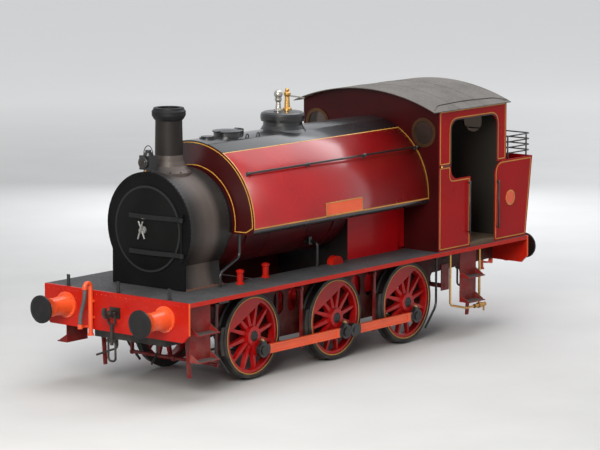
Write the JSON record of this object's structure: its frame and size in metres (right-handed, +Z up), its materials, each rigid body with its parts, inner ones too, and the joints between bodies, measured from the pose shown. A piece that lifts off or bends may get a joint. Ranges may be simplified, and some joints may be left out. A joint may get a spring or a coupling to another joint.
{
  "type": "steam locomotive",
  "caption": "Six-coupled saddle tank steam locomotive with smokebox, chimney, dome, open-sided cab, bunker, spoked wheels and coupling rods.",
  "frame": {"origin": "on the plane that the wheel flanges stand on, at the middle of the length over buffers and of the width", "axes": "+X forwards to the smokebox end, +Y to the left, +Z up"},
  "size_m": [8.487, 2.544, 3.7154],
  "materials": {
    "red_paint": "gloss",
    "maroon_paint": "gloss",
    "black_paint": "satin",
    "smokebox_black": "matt, heat worn",
    "deck_grey": "matt, scuffed",
    "bright_steel": "bright",
    "black_iron": "oily black",
    "brass": "polished",
    "glass": "clear",
    "roof_grey": "matt",
    "wood": "worn boards",
    "hose_rubber": "ribbed"
  },
  "bodies": {
    "root": {"ashpan": "black_iron", "axleboxes": "black_iron", "blank_plates": "brass", "blast_pipe": "black_iron", "boiler_barrel": "maroon_paint", "brake_blocks": "black_iron", "brake_hangers": "red_paint", "brake_hoses": "hose_rubber", "brake_pipes": "red_paint", "brake_rigging": "red_paint", "buffer_beams": "red_paint", "buffer_heads": "black_iron", "buffer_stocks": "red_paint", "bunker": "red_paint", "cab_controls": "bright_steel", "cab_floor": "wood", "cab_front": "maroon_paint", "cab_lower_sides": "red_paint", "cab_rear": "maroon_paint", "cab_roof": "roof_grey", "cab_upper_sides": "red_paint", "chimney": "smokebox_black", "chimney_base": "smokebox_black", "cylinder_block": "black_iron", "deck_fittings": "red_paint", "dome_cover": "black_paint", "drawhooks": "black_iron", "feed_pipes": "black_paint", "fire_hole_ring": "black_iron", "firebox": "red_paint", "footplate": "deck_grey", "frame_plates": "red_paint", "frame_stretchers": "red_paint", "guard_irons": "red_paint", "handrails": "black_paint", "headlamp": "black_paint", "injectors": "brass", "lamp_irons": "black_paint", "saddle_tank": "red_paint", "safety_valves": "brass", "sand_gear": "black_paint", "screw_couplings": "black_iron", "smokebox_front": "black_paint", "smokebox_wrapper": "smokebox_black", "steps": "red_paint", "tank_hatch": "black_paint", "window_glass": "glass", "window_rims": "brass"},
    "wheelset_front": {"tyres_front": "black_iron", "wheels_front": "red_paint"},
    "wheelset_middle": {"tyres_middle": "black_iron", "wheels_middle": "red_paint"},
    "wheelset_rear": {"tyres_rear": "black_iron", "wheels_rear": "red_paint"},
    "rod_left": {"coupling_rod_left": "red_paint"},
    "rod_right": {"coupling_rod_right": "red_paint"},
    "smokebox_door": {"smokebox_door": "black_paint", "door_fittings": "bright_steel"},
    "filler_lid": {"filler_lid": "black_paint"},
    "fire_door": {"fire_door": "black_iron"}
  },
  "joints": [
    {"name": "wheels_middle_turn", "type": "hinge", "parent": "root", "child": "wheelset_middle", "pos_m": [0.1735, 0, 0.6], "axis": [0, 1, 0], "continuous": true},
    {"name": "wheels_front_turn", "type": "hinge", "parent": "root", "child": "wheelset_front", "pos_m": [1.9265, 0, 0.6], "axis": [0, 1, 0], "continuous": true},
    {"name": "wheels_rear_turn", "type": "hinge", "parent": "root", "child": "wheelset_rear", "pos_m": [-1.4265, 0, 0.6], "axis": [0, 1, 0], "continuous": true},
    {"name": "rod_left_swing", "type": "hinge", "parent": "wheelset_middle", "child": "rod_left", "pos_m": [0.07271, 0.9, 0.4022], "axis": [0, 1, 0], "continuous": true},
    {"name": "rod_right_swing", "type": "hinge", "parent": "wheelset_middle", "child": "rod_right", "pos_m": [0.3713, -0.9, 0.49921], "axis": [0, 1, 0], "continuous": true},
    {"name": "smokebox_door_hinge", "type": "hinge", "parent": "root", "child": "smokebox_door", "pos_m": [3.1245, 0.618, 2.0935], "axis": [0, 0, 1], "range_deg": [0, 150]},
    {"name": "filler_lid_hinge", "type": "hinge", "parent": "root", "child": "filler_lid", "pos_m": [1.2465, 0, 3.2415], "axis": [0, -1, 0], "range_deg": [0, 105]},
    {"name": "fire_door_hinge", "type": "hinge", "parent": "root", "child": "fire_door", "pos_m": [-1.8505, 0.234, 1.8085], "axis": [0, 0, -1], "range_deg": [0, 115]}
  ],
  "couplings": [
    {"joint": "wheels_front_turn", "follows": "wheels_middle_turn", "ratio": 1},
    {"joint": "wheels_rear_turn", "follows": "wheels_middle_turn", "ratio": 1},
    {"joint": "rod_left_swing", "follows": "wheels_middle_turn", "ratio": -1},
    {"joint": "rod_right_swing", "follows": "wheels_middle_turn", "ratio": -1}
  ]
}
